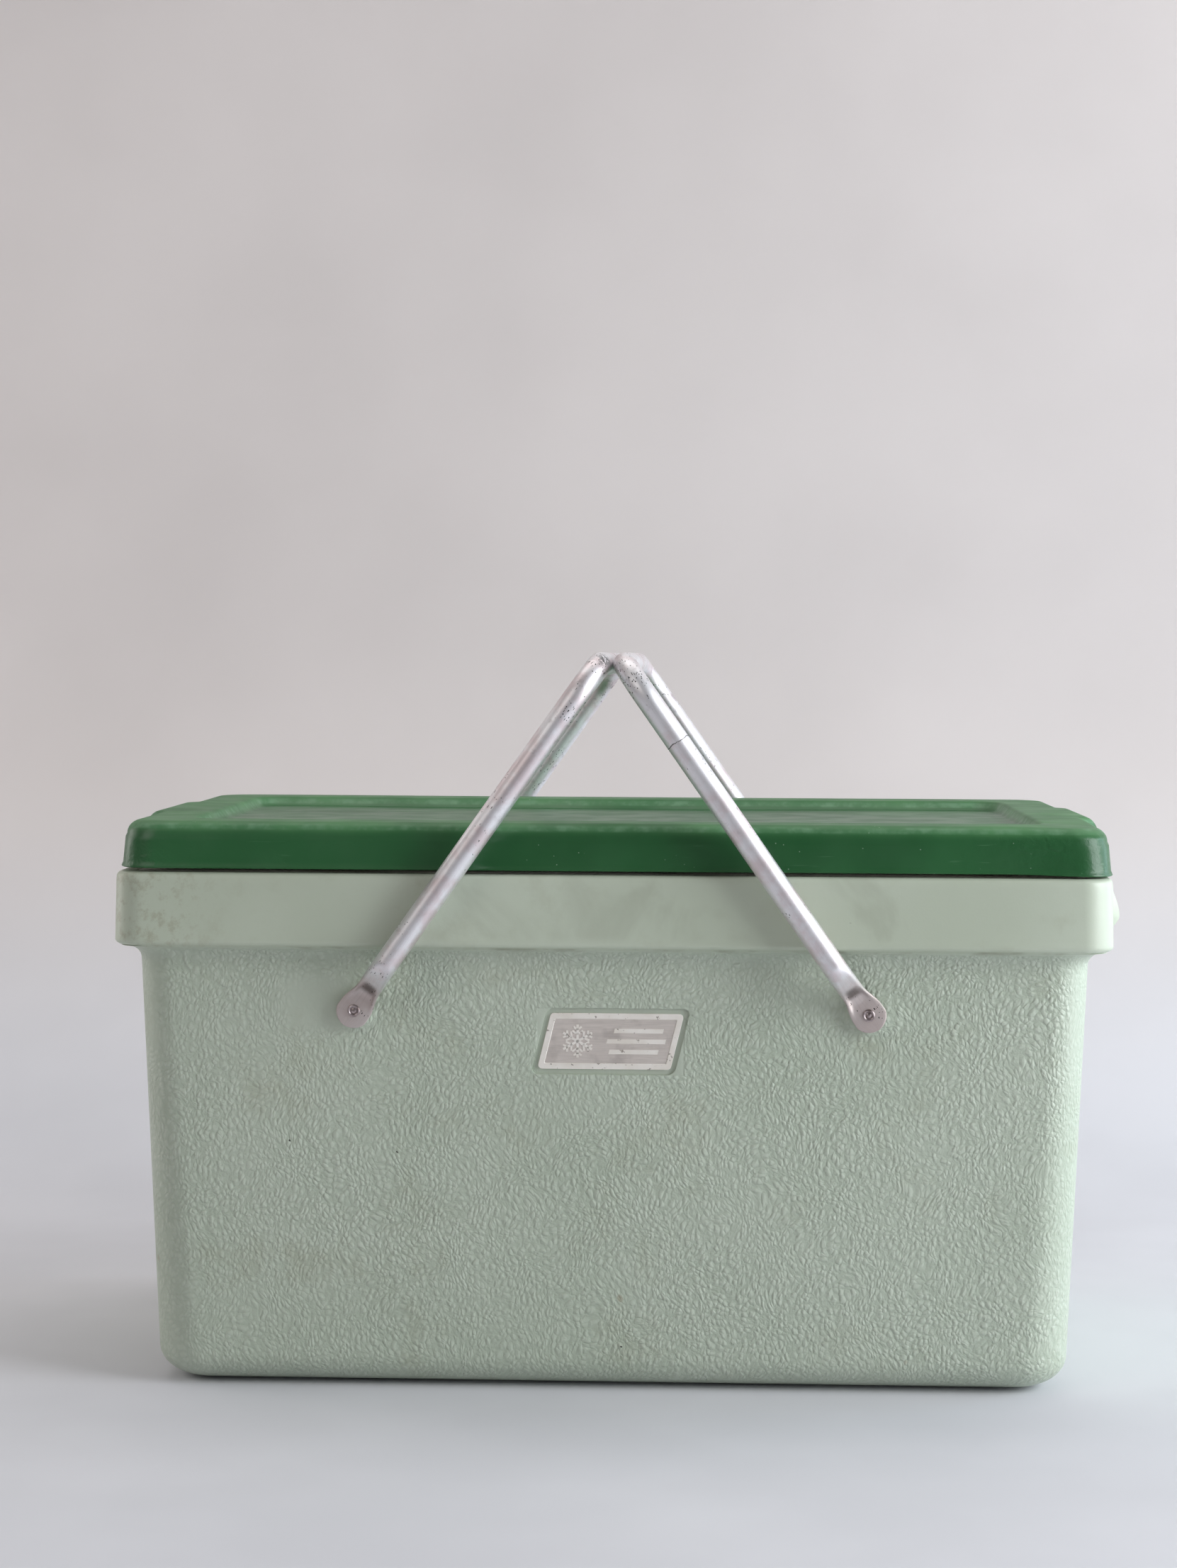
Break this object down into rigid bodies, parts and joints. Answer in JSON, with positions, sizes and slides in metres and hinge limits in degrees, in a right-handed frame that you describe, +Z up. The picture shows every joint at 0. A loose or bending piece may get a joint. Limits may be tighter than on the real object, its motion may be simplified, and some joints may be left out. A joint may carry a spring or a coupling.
{
  "type": "picnic cooler chest",
  "caption": "Insulated picnic cooler chest with grained plastic body, smooth collar, lift-off lid and two swing tube handles that meet over the middle.",
  "frame": {"origin": "middle of the base, on the surface the chest stands on", "axes": "+X to the right and along the length, +Y to the back (the badge faces -Y), +Z up"},
  "size_m": [0.562, 0.3534, 0.3938],
  "materials": {
    "body_green": "satin",
    "lid_green": "satin",
    "liner_white": "satin",
    "foam": "matte",
    "adhesive": "matte",
    "badge_metal": "satin",
    "handle_aluminium": "satin",
    "rivet_aluminium": "satin",
    "spacer_plastic": "matte",
    "washer_steel": "satin"
  },
  "bodies": {
    "root": {"outer_shell": "body_green", "inner_liner": "liner_white", "body_insulation": "foam", "badge_adhesive": "adhesive", "badge_plate": "badge_metal", "rivet_front_left": "rivet_aluminium", "spacer_front_left": "spacer_plastic", "backing_washer_front_left": "washer_steel", "rivet_rear_left": "rivet_aluminium", "spacer_rear_left": "spacer_plastic", "backing_washer_rear_left": "washer_steel", "rivet_front_right": "rivet_aluminium", "spacer_front_right": "spacer_plastic", "backing_washer_front_right": "washer_steel", "rivet_rear_right": "rivet_aluminium", "spacer_rear_right": "spacer_plastic", "backing_washer_rear_right": "washer_steel"},
    "lid": {"lid_shell": "lid_green", "lid_pan": "liner_white", "lid_insulation": "foam"},
    "left_handle_body": {"left_handle": "handle_aluminium"},
    "right_handle_body": {"right_handle": "handle_aluminium"}
  },
  "joints": [
    {"name": "left_handle_swing", "type": "hinge", "parent": "root", "child": "left_handle_body", "pos_m": [-0.1357, 0, 0.204], "axis": [0, -1, 0], "range_deg": [0, 182]},
    {"name": "right_handle_swing", "type": "hinge", "parent": "root", "child": "right_handle_body", "pos_m": [0.1357, 0, 0.204], "axis": [0, 1, 0], "range_deg": [0, 182]},
    {"name": "lid_lift", "type": "slide", "parent": "root", "child": "lid", "axis": [0, 0, 1], "range_m": [0, 0.07]}
  ]
}
